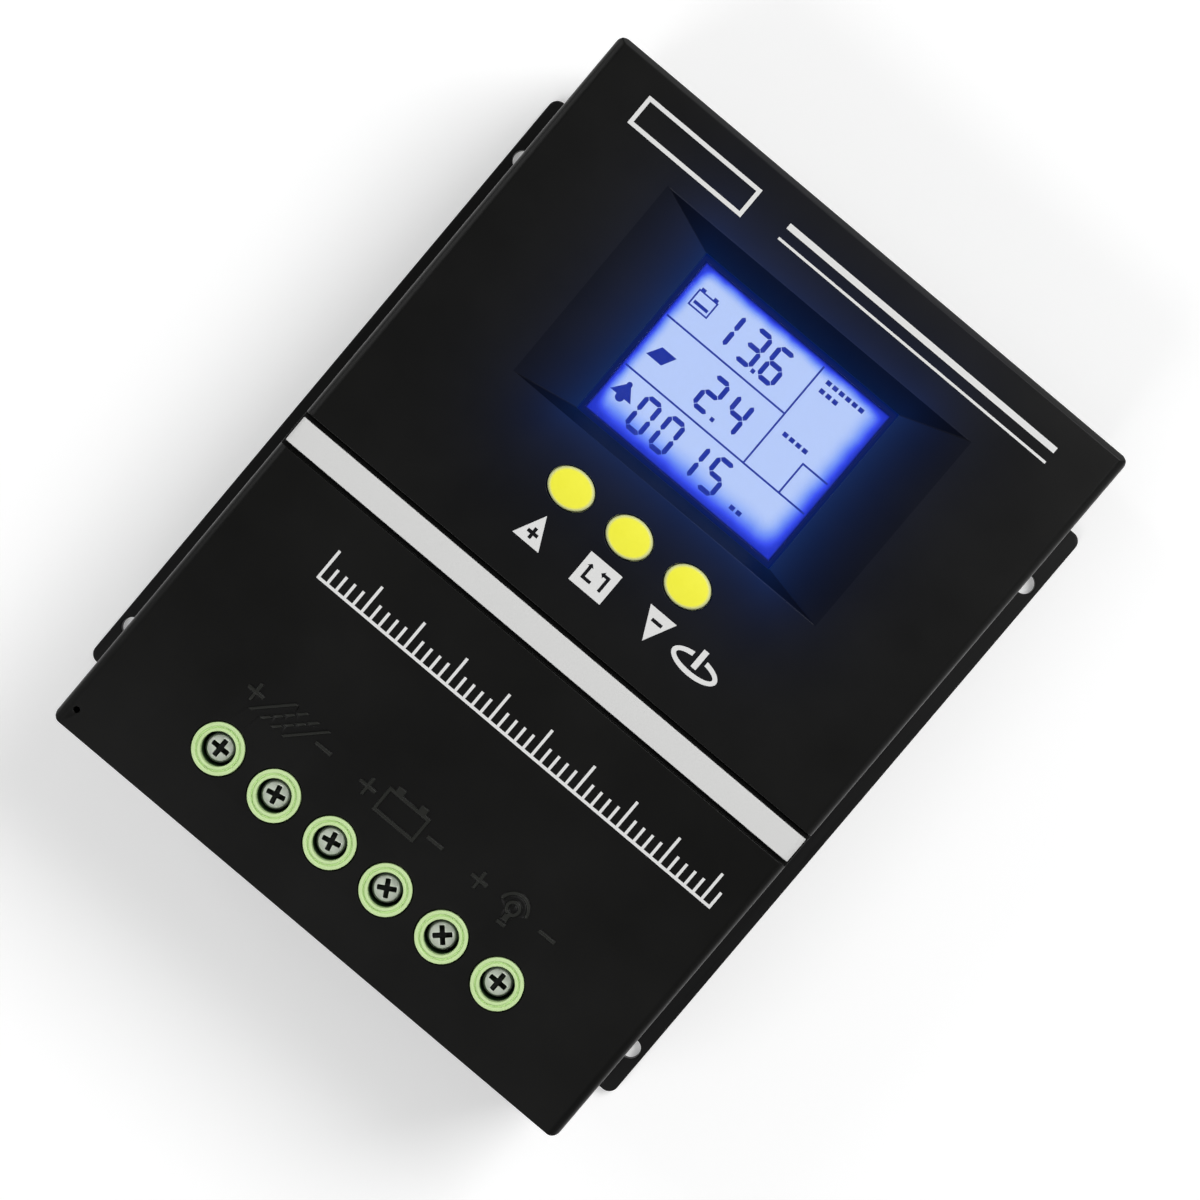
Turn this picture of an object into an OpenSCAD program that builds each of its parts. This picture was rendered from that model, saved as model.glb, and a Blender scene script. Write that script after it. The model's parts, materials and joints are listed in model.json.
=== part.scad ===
// Wall-mounted solar charge controller.
// z = 0 is the mounting plane, +Z points out of the front face and +Y towards the upper end.

/* [Case] */
// Width across the front of the case
case_w = 148.5; // [140:0.5:190]
// Length of the case from its lower end to its upper end
case_l = 200; // [190:1:260]
// Depth from the mounting plane to the front face
case_d = 64; // [62:1:90]
// Thickness of the side and end walls
wall = 2.4; // [1.6:0.1:3]
// Thickness of the front faces
face_t = 2.6; // [2:0.1:3.2]
// Corner radius of the case seen from the front
corner_r = 2.2; // [1:0.1:5]
// Radius along the two long front edges
edge_r = 2.4; // [1:0.1:3]
// Chamfer along the front edge of the upper end
end_chamfer = 1.3; // [0.4:0.1:2]
// Height of the rear case's wall above the heat sink
rear_wall_h = 11; // [10:0.5:13]
// Thickness of the rear case's floor
rear_floor_t = 2; // [1.6:0.1:2.6]

/* [Trim bar] */
// Distance from the lower end to the middle of the trim bar
bar_from_low = 85.2; // [80:0.1:95]
// Width of the trim bar along the case
bar_h = 6.6; // [4:0.1:10]
// Thickness of the trim bar
bar_t = 1.8; // [1.2:0.1:2.2]
// Dark groove on each side of the trim bar
bar_groove = 1.2; // [0.4:0.1:2]

/* [Display] */
// Width of the display opening
lcd_w = 56.6; // [48:0.1:58]
// Height of the display opening
lcd_h = 45.5; // [38:0.1:46]
// Distance from the upper end to the middle of the display opening
lcd_from_top = 47.75; // [46:0.05:56]
// Depth of the sloping recess around the display
recess_d = 5; // [3:0.1:6]
// Width of the recess's left and right slopes
recess_side = 15.5; // [8:0.1:17]
// Width of the recess's upper slope
recess_top = 5.4; // [3:0.1:6]
// Width of the recess's lower slope
recess_low = 2.9; // [1.5:0.1:4]
// Width of the lit display area
view_w = 54; // [46:0.1:54.4]
// Height of the lit display area
view_h = 42.4; // [36:0.1:43]

/* [Keys] */
// Length of an oval key across the case
key_w = 11.5; // [8:0.1:13]
// Length of an oval key along the case
key_h = 9.3; // [7:0.1:10.5]
// Distance between neighbouring keys
key_pitch = 17.05; // [16:0.05:20]
// Distance from the upper end to the row of keys
key_from_top = 85.2; // [84:0.1:92]
// How far a key stands out of the face
key_proud = 1.2; // [0.8:0.1:2]
// Travel of a key
key_travel = 0.6; // [0.3:0.1:0.8]

/* [Terminals] */
// Distance between neighbouring terminals
term_pitch = 16.44; // [14:0.02:17]
// Sideways place of the middle of the terminal row
term_shift = 0.6; // [-2:0.1:2]
// Distance from the lower end to the terminal row
term_from_low = 18.7; // [18:0.1:24]
// Outer diameter of the collars
collar_d = 12.2; // [11:0.1:13]
// How far the collars stand out of the face
collar_proud = 0.6; // [0:0.1:1]
// Diameter of the terminal screws' heads
head_d = 6.9; // [6:0.1:7.5]
// Nominal thread diameter of the terminal screws
thread_d = 5; // [4:0.5:5]
// Thread pitch of the terminal screws
thread_pitch = 0.8; // [0.7:0.05:1]
// Turns from fully open to fully closed
screw_turns = 9; // [6:1:9]
// Width of the wire entries
wire_w = 9.2; // [8:0.1:9.6]
// Height of the wire entries
wire_h = 7.6; // [6:0.1:8]

/* [Heat sink and mounting] */
// How far each mounting flange stands out of the case's side
flange_out = 8.95; // [8:0.05:20]
// Thickness of the mounting flanges
flange_t = 3; // [2:0.1:4]
// Distance from the case's lower end to the heat sink
sink_from_low = 7; // [5:0.5:12]
// Distance from the case's upper end to the heat sink
sink_from_top = 16; // [10:0.5:18]
// Diameter of the mounting holes
hole_d = 5; // [4:0.1:5.5]
// Distance from a mounting hole's centre to the flange's outer edge
hole_edge = 3.7; // [3.4:0.1:4]
// Distance from the lower mounting holes to the heat sink's lower end
hole_from_low = 12; // [8:0.5:20]
// Distance from the upper mounting holes to the heat sink's upper end
hole_from_top = 17; // [8:0.5:24]
// Height of the cooling fins
fin_h = 9; // [7:0.5:10]
// Thickness of the cooling fins
fin_t = 2; // [1.4:0.1:2.2]
// Distance between neighbouring fins
fin_pitch = 8; // [8:0.1:9]
// Thickness of the heat sink's base
base_t = 4; // [3:0.1:5]

/* [Boards] */
// Thickness of the circuit boards
board_t = 1.6; // [1:0.1:2]
// Height of the standoffs under the main board
standoff_h = 9; // [8.5:0.1:10]
// Diameter of the case and board screws
screw_d = 3; // [2.5:0.1:3]

/* [Hidden] */
$fn = 48;

// Colours
case_black = [0.10, 0.10, 0.10];
sink_black = [0.06, 0.06, 0.06];
print_white = [0.86, 0.86, 0.86];
key_yellow = [0.96, 0.93, 0.20];
collar_green = [0.68, 0.86, 0.55];
steel = [0.70, 0.71, 0.70];
board_green = [0.05, 0.30, 0.15];
chip_black = [0.12, 0.12, 0.13];
copper = [0.75, 0.45, 0.25];
tin = [0.78, 0.76, 0.72];
nickel = [0.80, 0.74, 0.55];
pad_grey = [0.75, 0.75, 0.72];
sleeve_blue = [0.13, 0.16, 0.30];
core_yellow = [0.85, 0.75, 0.30];
fuse_orange = [0.90, 0.45, 0.10];
shunt_grey = [0.60, 0.55, 0.50];
ribbon_grey = [0.62, 0.62, 0.64];
plunger_red = [0.75, 0.20, 0.15];
window_clear = [0.85, 0.90, 0.95, 0.25];
guide_white = [0.92, 0.94, 0.97];
display_blue = [0.30, 0.40, 0.95];
ink_navy = [0.05, 0.08, 0.35];

// Clearances
cut = 1;             // how far a cut runs past the face that it opens
join = 0.1;          // how far one part of a piece sinks into the next
fit_gap = 0.3;       // between pieces that must not touch
thread_gap = 0.05;   // radial, between a screw's plain shank and its hole
slide_gap = 0.1;     // radial, between a sliding pin and its guide
clear_hole = 0.2;    // radial, between a screw and the hole that it passes through
drop_in = 0.2;       // each side, between a part and the pocket that it drops into

// Levels, from the mounting plane to the front
sink_top = fin_h + base_t;
floor_top = sink_top + rear_floor_t;
cover_z = sink_top + rear_wall_h;
board_z = sink_top + standoff_h;
board_top = board_z + board_t;
inner_z = case_d - face_t;
recess_z = case_d - recess_d;
throat_t = 1.1;      // straight part of the display opening
throat_z = recess_z - throat_t;

// Plan of the case
low_y = -case_l / 2;
high_y = case_l / 2;
inner_w = case_w - 2 * wall;
inner_l = case_l - 2 * wall;
bar_y = low_y + bar_from_low;
bar_z = case_d - bar_t;
lower_face_y = bar_y - bar_h / 2 - bar_groove;
upper_face_y = bar_y + bar_h / 2 + bar_groove;
ledge_y = upper_face_y - 0.2;
ledge_t = 2.6;
peg_r = 1.25;
peg_xs = [for (i = [-1:1]) i * (case_w / 2 - 12)];
pin_hole_d = 1.5;
pin_hole_in = [3.6, 4.8];
slot_pitch = 5.2;
slot_w = 2;
slot_h = 18;
slot_from_boss = 6;

// Lip of the rear case, which the covers slide over
lip_h = 2.2;
lip_t = 1.2;
lip_root = 1;

// Heat sink
sink_w = inner_w - 1.7;
flange_w = case_w + 2 * flange_out;
sink_low = low_y + sink_from_low;
sink_high = high_y - sink_from_top;
sink_corner_r = 2.5;
leg_t = 3.5;
fin_root = 0.5;
pilot_deep = 3;
fin_side = floor((sink_w / 2 - leg_t - fin_t) / fin_pitch);
hole_x = flange_w / 2 - hole_edge;
hole_ys = [sink_low + hole_from_low, sink_high - hole_from_top];

// Case screws, each centred on a channel between two fins
screw_head_r = 2.75;
boss_r = 3.5;
boss_rib = 2;
boss_reach = min(inner_w / 2 - boss_r - boss_rib, sink_w / 2 - leg_t - screw_head_r - fit_gap);
boss_x = fin_pitch * floor(boss_reach / fin_pitch);
boss_hole_deep = 14;
upper_boss_ys = [upper_face_y + 12.2, sink_high - 8];
lower_boss_ys = [sink_low + 7, lower_face_y - 9];
boss_ys = concat(upper_boss_ys, lower_boss_ys);
screw_r = screw_d / 2;
screw_head_h = 2.2;
case_screw_l = base_t + rear_floor_t + 12;

// Boards
board_half = boss_x - 7;
board_low = low_y + wall + 2;
board_high = sink_high - 12;
board_room = 1;      // round the main board, in the rear case's window
board_screw_l = board_t + 5;
standoff_x = board_half - 3.5;
standoff_ys = [board_low + 11.6, (board_low + board_high) / 2, board_high - 10];
standoff_r = 3.1;
lcd_y = high_y - lcd_from_top;
key_y = high_y - key_from_top;
key_x = -0.3;
key_xs = [for (i = [-1:1]) key_x + i * key_pitch];
disp_top = throat_z - 7.3;
disp_z = disp_top - board_t;
pillar_x = lcd_w / 2 + 11.7;
pillar_ys = [key_y - 6.5, lcd_y + lcd_h / 2 + recess_top + 4.6];
pillar_r = 3;
pillar_edge = 4;
small_screw_r = screw_r - 0.25;
header_y = key_y - 4;
header_w = 26;
header_l = 6;
header_h = 8.4;
header_run = 21;
cable_t = 0.9;
cable_bend = 3.6;
cable_low_y = header_y - header_run;

// Power transistors on the heat sink, held down by two bars
pad_t = 0.4;
transistor_w = 10;
transistor_l = 9;
transistor_h = 4.5;
transistor_tab = 6.5;
transistor_pitch = 17;
transistor_xs = [for (i = [-1.5:1:1.5]) i * transistor_pitch];
transistor_ys = [low_y + 52, high_y - 58];
clamp_end = transistor_xs[3] + 10;
clamp_bar_w = 8;
clamp_bar_t = 2.4;
clamp_bar_z = sink_top + pad_t + transistor_h;

// Parts on the main board
capacitor_r = 9;
capacitor_h = 20;
capacitor_rim = 0.6;
capacitor_pitch = 24;
capacitor_y = high_y - 60;
core_r = 15;
core_bore = 8;
core_h = 12;
wire_r = 0.8;
coil_turns = 20;
coil_gap = 0.2;
coil_x = -board_half * 0.5;
coil_y = low_y + 62;
coil_z = board_top + 2 * wire_r + 2 * coil_gap;
fuse_pitch = 13;
fuse_xs = [for (i = [0:2]) board_half * 0.15 + i * fuse_pitch];
fuse_y = coil_y;
fuse_seat = board_top + 7;
fuse_blade_y = 7.2;
chip_half = 5;

// Display stack, below the opening
bezel_t = 2.1;
bezel_rim = 4;
lens_t = 0.9;
glass_t = 2.2;
lens_gap = 0.15;
ink_t = 0.06;
bezel_in = 0.3;      // from the lit area to the bezel's inner edge
lens_in = 1.5;       // how far the window runs under the bezel
glass_in = 1.8;      // how far the glass runs under the bezel
glass_top = throat_z - bezel_t;
light_top = glass_top - glass_t;
glass_w = view_w + 2 * glass_in;
glass_h = view_h + 2 * glass_in;

// Seven-segment figures: the segments are named a to g, clockwise from the top, g in the middle
figures = ["abcdef", "bc", "abged", "abgcd", "fgbc", "afgcd", "afgedc", "abc", "abcdefg", "abcdfg"];

// Keys and their switches
key_flange = 1.1;
key_flange_t = 1.1;
key_under = inner_z - fit_gap - key_flange_t;
key_rim = 0.5;
stem_r = 2;
switch_w = 6;
switch_h = 4;
switch_floor = 1;
plunger_r = 1.75;
plunger_top = disp_top + switch_h + 1.5;

// Terminals
term_y = low_y + term_from_low;
term_xs = [for (i = [-2.5:1:2.5]) term_shift + i * term_pitch];
block_low = low_y + wall + 1.7;
block_high = term_y + 9.3;
block_top = inner_z - fit_gap;
collar_bore = head_d + 1.2;
collar_groove = 0.5;
head_h = 3.6;
head_z = block_top - 4.2;
clamp_travel = thread_pitch * screw_turns;
cavity_top = head_z - 1.6;
clamp_top_t = 3.8;
clamp_wall = 1.3;
clamp_floor = 1.5;
clamp_w = wire_w + 2 * (fit_gap + clamp_wall);
clamp_l = 9;
clamp_top = cavity_top - fit_gap - clamp_travel;
bar_metal = 2;
contact_top = clamp_top - clamp_top_t - 1.2;
contact_low = contact_top - bar_metal;
clamp_inner_low = contact_low - fit_gap - clamp_travel;
clamp_low = clamp_inner_low - clamp_floor;
cavity_low = clamp_low - fit_gap;
contact_w = wire_w - 2 * fit_gap;
contact_leg_y = term_y + 6;
contact_front = 4.2;
entry_mid = contact_low - 0.1 - wire_h / 2;
entry_flare = 0.6;   // how much wider the cover's opening is, on each side
cross_angles = [0, 13, 13, 30, 42, 0];
shunt_y = (coil_y + term_y) / 2 - 2;

// Moulded relief and white print on the covers
relief_t = 0.5;
relief_line = 0.8;
relief_y = term_y + 15.4;
sign_size = 4.6;
sign_x = 9.9;
print_t = 0.08;
symbol_y = key_y - 12;
symbol_size = 7.6;
symbol_line = 0.85;
title_y = high_y - 10.6;
title_h = 7.8;
scale_y = bar_y - 22.6;
scale_x = 9.4;
scale_step = 2.5;
scale_ticks = 46;
scale_line = 0.7;

// ---------- shared shapes ----------

// A rectangle with true round corners, centred
module rounded_rect(w, l, r) {
  union() {
    square([w - 2 * r, l], center = true);
    square([w, l - 2 * r], center = true);
    for (x = [-1, 1], y = [-1, 1])
      translate([x * (w / 2 - r), y * (l / 2 - r)]) circle(r);
  }
}

// An outline in x and z, extruded from y_low to y_high
module along_y(y_low, y_high) {
  translate([0, y_high, 0]) rotate([90, 0, 0]) linear_extrude(y_high - y_low) children();
}

// An outline in y and z, extruded from x_low to x_high
module along_x(x_low, x_high) {
  translate([x_low, 0, 0]) rotate([90, 0, 90]) linear_extrude(x_high - x_low) children();
}

// A box given by its two corners
module block(low, high) {
  translate(low) cube(high - low);
}

// The case's cross-section, with its two long front edges rounded
module front_profile() {
  union() {
    translate([-case_w / 2, 0]) square([case_w, case_d - edge_r]);
    translate([-case_w / 2 + edge_r, 0]) square([case_w - 2 * edge_r, case_d]);
    for (x = [-1, 1])
      translate([x * (case_w / 2 - edge_r), case_d - edge_r]) circle(edge_r);
  }
}

// Keeps what lies behind the chamfer of the upper end
module end_profile() {
  polygon([
    [low_y - cut, 0],
    [high_y + cut, 0],
    [high_y + cut, case_d - end_chamfer - cut],
    [high_y - end_chamfer - cut, case_d + cut],
    [low_y - cut, case_d + cut]
  ]);
}

// The solid outline of the case between two places along it
module case_block(y_low, y_high) {
  intersection() {
    translate([0, 0, cover_z])
      linear_extrude(case_d - cover_z) rounded_rect(case_w, case_l, corner_r);
    along_y(y_low, y_high) front_profile();
    along_x(-case_w, case_w) end_profile();
  }
}

// A hopper around the display opening: side, top and low are how far it has spread at z_high
module hopper(grow, side, top, low, z_low, z_high) {
  half_w = lcd_w / 2 + grow;
  half_h = lcd_h / 2 + grow;
  intersection() {
    along_y(0, case_l) polygon([
      [-half_w, z_low], [half_w, z_low], [half_w + side, z_high], [-half_w - side, z_high]
    ]);
    along_x(-case_w, case_w) polygon([
      [lcd_y - half_h, z_low],
      [lcd_y + half_h, z_low],
      [lcd_y + half_h + top, z_high],
      [lcd_y - half_h - low, z_high]
    ]);
  }
}

// A centred rectangular outline of the given line width, inside size
module frame(size, line) {
  difference() {
    square(size, center = true);
    square([size[0] - 2 * line, size[1] - 2 * line], center = true);
  }
}

// An oval of the given full width and height
module oval(w, h) {
  step = 7.5;
  polygon([for (a = [0:step:360 - step]) [w / 2 * cos(a), h / 2 * sin(a)]]);
}

// A cross recess for a screwdriver, opening upwards at z = 0
module cross_recess(across, depth) {
  arm_t = across * 0.26;
  intersection() {
    for (turn = [0, 90]) rotate(turn)
      translate([-across / 2, -arm_t / 2, -depth]) cube([across, arm_t, depth + cut]);
    rotate_extrude() polygon([
      [0, -depth], [arm_t * 0.7, -depth], [across / 2, -depth * 0.5], [across / 2, cut], [0, cut]
    ]);
  }
}

// A pan-head screw whose head stands on z = 0 and whose shank goes down
module pan_screw(shank_r, shank_l, head_r, head_t) {
  difference() {
    union() {
      translate([0, 0, -shank_l]) cylinder(r = shank_r, h = shank_l + join);
      rotate_extrude() polygon([
        [0, 0], [head_r, 0], [head_r, head_t * 0.75], [head_r * 0.86, head_t], [0, head_t]
      ]);
    }
    translate([0, 0, head_t]) cross_recess(head_r * 1.33, head_t * 0.6);
  }
}

// Middle of a pair of terminals
function pair_x(pair) = (term_xs[2 * pair] + term_xs[2 * pair + 1]) / 2;

// Puts children at each place of a grid
module at(xs, ys, z = 0) {
  for (x = xs, y = ys) translate([x, y, z]) children();
}

// A screw boss that stands on the rear case's floor, joined to the side wall by a rib
module case_boss(side, y) {
  translate([side * boss_x, y, floor_top]) cylinder(r = boss_r, h = inner_z + join - floor_top);
  block(
    [min(side * boss_x, side * inner_w / 2), y - boss_rib / 2, cover_z + lip_h + 1],
    [max(side * boss_x, side * inner_w / 2), y + boss_rib / 2, inner_z + join]
  );
}

// Holes up into the case bosses
module boss_pilots(ys) {
  at([-boss_x, boss_x], ys, floor_top - cut)
    cylinder(r = screw_r + thread_gap, h = boss_hole_deep + cut);
}

// Cooling slots through both side walls, between two rows of bosses
module side_slots(ys) {
  first = ys[0] + slot_from_boss;
  count = floor((ys[1] - slot_from_boss - first) / slot_pitch);
  for (x = [-1, 1], i = [0:count - 1])
    translate([x * case_w / 2, first + (i + 0.5) * slot_pitch, (cover_z + inner_z) / 2])
      cube([4 * wall, slot_w, slot_h], center = true);
}

// ---------- case ----------

module heat_sink() color(sink_black) {
  flange_in = sink_w / 2 - leg_t;
  difference() {
    intersection() {
      along_y(sink_low, sink_high) union() {
        translate([-sink_w / 2, fin_h]) square([sink_w, base_t]);
        for (x = [-1, 1]) translate([x * (sink_w - leg_t) / 2 - leg_t / 2, 0])
          square([leg_t, fin_h + fin_root]);
        for (x = [-1, 1]) translate([x * (flange_w / 2 + flange_in) / 2, flange_t / 2])
          square([flange_w / 2 - flange_in, flange_t], center = true);
        for (x = [-1, 1], i = [0.5:1:fin_side])
          translate([x * i * fin_pitch - fin_t / 2, 0]) square([fin_t, fin_h + fin_root]);
      }
      translate([0, (sink_low + sink_high) / 2, -cut]) linear_extrude(sink_top + 2 * cut)
        rounded_rect(flange_w, sink_high - sink_low, sink_corner_r);
    }
    at([-hole_x, hole_x], hole_ys, -cut) cylinder(d = hole_d, h = flange_t + 2 * cut);
    at([-boss_x, boss_x], boss_ys, fin_h - cut)
      cylinder(r = screw_r + clear_hole, h = base_t + 2 * cut);
    at([-standoff_x, standoff_x], standoff_ys, sink_top - pilot_deep)
      cylinder(r = screw_r + thread_gap, h = pilot_deep + cut);
    at([-clamp_end, clamp_end], transistor_ys, sink_top - pilot_deep)
      cylinder(r = screw_r + thread_gap, h = pilot_deep + cut);
  }
}

module rear_case() color(case_black) {
  lip_w = inner_w - 2 * drop_in;
  lip_l = inner_l - 2 * drop_in;
  difference() {
    translate([0, 0, sink_top]) union() {
      linear_extrude(rear_wall_h) difference() {
        rounded_rect(case_w, case_l, corner_r);
        square([inner_w, inner_l], center = true);
      }
      linear_extrude(rear_floor_t) square([inner_w + wall, inner_l + wall], center = true);
      linear_extrude(rear_wall_h + lip_h) frame([lip_w, lip_l], lip_t);
      linear_extrude(rear_wall_h - lip_root) difference() {
        square([inner_w + wall, inner_l + wall], center = true);
        square([lip_w - 2 * lip_t, lip_l - 2 * lip_t], center = true);
      }
    }
    block(
      [-board_half - board_room, board_low + 3, sink_top - cut],
      [board_half + board_room, board_high + 2 * board_room, floor_top + cut]
    );
    at([-boss_x, boss_x], boss_ys, sink_top - cut)
      cylinder(r = screw_r + clear_hole, h = rear_floor_t + 2 * cut);
  }
}

module upper_cover() color(case_black) {
  spread = 1 + cut / recess_d;
  difference() {
    union() {
      difference() {
        case_block(upper_face_y, high_y);
        block(
          [-inner_w / 2, upper_face_y - cut, cover_z - cut],
          [inner_w / 2, high_y - wall, inner_z]
        );
      }
      hopper(
        bezel_rim - 1, recess_side, recess_top, recess_low, throat_z, inner_z + 0.5
      );
      for (side = [-1, 1], y = upper_boss_ys) case_boss(side, y);
      at([-pillar_x, pillar_x], pillar_ys, disp_top)
        cylinder(r = pillar_r, h = inner_z + join - disp_top);
    }
    hopper(
      0, recess_side * spread, recess_top * spread, recess_low * spread,
      recess_z, case_d + cut
    );
    translate([0, lcd_y, throat_z - cut]) linear_extrude(recess_z - throat_z + 2 * cut)
      square([lcd_w, lcd_h], center = true);
    at(key_xs, [key_y], inner_z - cut)
      linear_extrude(face_t + 2 * cut) oval(key_w + 2 * fit_gap, key_h + 2 * fit_gap);
    at([-pillar_x, pillar_x], pillar_ys, disp_top - cut)
      cylinder(r = small_screw_r + thread_gap, h = 7 + cut);
    boss_pilots(upper_boss_ys);
    side_slots(upper_boss_ys);
  }
}

module lower_cover() color(case_black) {
  difference() {
    union() {
      difference() {
        case_block(low_y, ledge_y);
        block(
          [-inner_w / 2, low_y + wall, cover_z - cut],
          [inner_w / 2, ledge_y + cut, inner_z]
        );
      }
      block(
        [-(inner_w + wall) / 2, lower_face_y - 1, bar_z - ledge_t],
        [(inner_w + wall) / 2, ledge_y, bar_z + join]
      );
      for (side = [-1, 1], y = lower_boss_ys) case_boss(side, y);
      relief_symbols();
    }
    block([-case_w, lower_face_y, bar_z], [case_w, ledge_y + cut, case_d + cut]);
    at(term_xs, [term_y], inner_z - cut)
      cylinder(d = collar_d + 2 * fit_gap, h = face_t + 2 * cut);
    for (x = term_xs) translate([x, low_y + wall / 2, entry_mid])
      cube([wire_w + 2 * entry_flare, 4 * wall, wire_h + 2 * entry_flare], center = true);
    at(peg_xs, [bar_y], bar_z - ledge_t - cut)
      cylinder(r = peg_r + thread_gap, h = ledge_t + 2 * cut);
    translate([-case_w / 2 + pin_hole_in[0], low_y + pin_hole_in[1], inner_z - cut])
      cylinder(d = pin_hole_d, h = face_t + 2 * cut);
    boss_pilots(lower_boss_ys);
    side_slots(lower_boss_ys);
  }
}

module plus_sign(size, line) {
  square([size, line], center = true);
  square([line, size], center = true);
}

// Raised plus and minus signs and plain pictures, moulded above each pair of terminals
module relief_symbols() {
  sink = 0.2;
  translate([0, relief_y, case_d - sink]) linear_extrude(relief_t + sink) {
    for (pair = [0:2]) translate([pair_x(pair), 0]) {
      translate([-sign_x, 0]) plus_sign(sign_size, relief_line);
      translate([sign_x, 0]) square([sign_size, relief_line], center = true);
    }
    translate([pair_x(0), 0]) panel_picture();
    translate([pair_x(1), 0]) battery_picture();
    translate([pair_x(2), 0]) lamp_picture();
  }
}

// A bar that leans 45 degrees and crosses y = 0 at the given x
module slanted_bar(x, half_h, line) {
  polygon([
    [x - half_h - line / 2, -half_h], [x - half_h + line / 2, -half_h],
    [x + half_h + line / 2, half_h], [x + half_h - line / 2, half_h]
  ]);
}

// Four slanted bars, the two inner ones broken into short dashes
module panel_picture() {
  half_w = 4.8;
  half_h = 3.8;
  line = relief_line * 1.2;
  dash = half_h / 2;
  for (i = [-1.5, 1.5]) slanted_bar(i * half_w / 1.5, half_h, line);
  difference() {
    for (i = [-0.5, 0.5]) slanted_bar(i * half_w / 1.5, half_h, line);
    for (y = [-dash, 0, dash]) translate([y, y]) square([2 * half_w, 0.5], center = true);
  }
}

module battery_picture() {
  body = [12, 6.6];
  post = [2, 1.5];
  frame(body, relief_line);
  for (x = [-1, 1])
    translate([x * 3.3, (body[1] + post[1]) / 2 - join]) square(post, center = true);
}

// A bulb under a round shade
module lamp_picture() {
  bulb_r = 1.9;
  shade_r = 3.9;
  shade_y = 0.2;
  neck_l = 1.6;
  difference() {
    union() {
      circle(bulb_r);
      translate([0, -bulb_r - neck_l / 2 + join]) square([relief_line * 2, neck_l], center = true);
    }
    circle(bulb_r - relief_line);
  }
  translate([0, -bulb_r - neck_l - relief_line]) square([2.4, relief_line], center = true);
  intersection() {
    difference() {
      circle(shade_r);
      circle(shade_r - relief_line);
    }
    translate([-shade_r, shade_y]) square([2 * shade_r, shade_r]);
  }
}

module trim_bar() color(print_white) {
  half = case_w / 2 - 0.5;
  intersection() {
    union() {
      block([-half, bar_y - bar_h / 2, bar_z], [half, bar_y + bar_h / 2, case_d]);
      at(peg_xs, [bar_y], bar_z - ledge_t + 0.2) cylinder(r = peg_r, h = ledge_t);
    }
    along_y(bar_y - bar_h, bar_y + bar_h) front_profile();
  }
}

module cover_screws() color(steel) {
  at([-boss_x, boss_x], boss_ys, fin_h) mirror([0, 0, 1])
    pan_screw(screw_r, case_screw_l, screw_head_r, screw_head_h);
}

module up_triangle() {
  half = symbol_size / 2;
  polygon([[-half, -half], [half, -half], [0, half]]);
}

// A bent arrow of the menu symbol: its corner at the origin, its tip above the upright leg
module bent_arrow(upright, foot) {
  line = 0.8;
  tip = 1.7;
  square([line, upright - tip / 2]);
  square([foot, line]);
  translate([line / 2, upright - tip / 2]) polygon([[-tip / 2, 0], [tip / 2, 0], [0, tip / 2]]);
}

module power_symbol() {
  ring = [12.8, 5.4];
  line = 1.2;
  gap_w = 3.6;
  difference() {
    oval(ring[0], ring[1]);
    oval(ring[0] - 2 * line, ring[1] - 2 * line);
    translate([-gap_w / 2, 0]) square([gap_w, ring[1]]);
  }
  translate([-line / 2, -line / 2]) square([line * 1.2, 4.9]);
}

// Printed symbols of the three keys, and the power symbol beside them
module printed_symbols() color(print_white) {
  menu = [9.1, 8.1];
  arrow_in = [1.7, 2];
  translate([0, symbol_y, case_d]) linear_extrude(print_t) {
    translate([key_xs[0] - 0.2, 0]) difference() {
      up_triangle();
      translate([0, -1.2]) plus_sign(2.9, symbol_line);
    }
    translate([key_xs[1], 0.2]) difference() {
      square(menu, center = true);
      translate(arrow_in - menu / 2) bent_arrow(4.1, 2.7);
      translate(menu / 2 - arrow_in) mirror([0, 1]) rotate(90) bent_arrow(2.5, 4.1);
    }
    translate([key_xs[2], 0]) difference() {
      mirror([0, 1]) up_triangle();
      translate([0, 1.3]) square([2.9, symbol_line], center = true);
    }
    translate([key_xs[2] + 12.6, -0.6]) power_symbol();
  }
}

// Plain print: two blank fields near the upper end, and an even scale below the trim bar
module printed_scale() color(print_white) {
  scale_w = scale_step * scale_ticks;
  translate([0, 0, case_d]) linear_extrude(print_t) {
    translate([-44, title_y]) frame([33, title_h], 1);
    translate([21, title_y]) {
      translate([0, 1.6]) square([78, 1.5], center = true);
      translate([0, -1.9]) square([78, 0.6], center = true);
    }
    translate([scale_x - scale_w / 2, scale_y]) {
      translate([-scale_line / 2, 0]) square([scale_w + scale_line, scale_line]);
      for (i = [0:scale_ticks]) translate([i * scale_step - scale_line / 2, 0])
        square([scale_line, i % 5 == 0 ? 8 : 4.5]);
    }
  }
}

// ---------- power electronics ----------

module main_board() color(board_green) {
  difference() {
    block([-board_half, board_low, board_z], [board_half, board_high, board_top]);
    at([-standoff_x, standoff_x], standoff_ys, board_z - cut)
      cylinder(r = screw_r + clear_hole, h = board_t + 2 * cut);
  }
}

module standoffs() color(steel) {
  stud_l = pilot_deep - 0.4;
  hole_deep = board_screw_l - board_t + 1;
  at([-standoff_x, standoff_x], standoff_ys, sink_top) difference() {
    union() {
      cylinder(r = standoff_r, h = standoff_h, $fn = 6);
      translate([0, 0, -stud_l]) cylinder(r = screw_r, h = stud_l + join);
    }
    translate([0, 0, standoff_h - hole_deep])
      cylinder(r = screw_r + thread_gap, h = hole_deep + cut);
  }
}

module board_screws() color(steel) {
  at([-standoff_x, standoff_x], standoff_ys, board_top)
    pan_screw(screw_r, board_screw_l, screw_head_r, screw_head_h);
}

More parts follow.
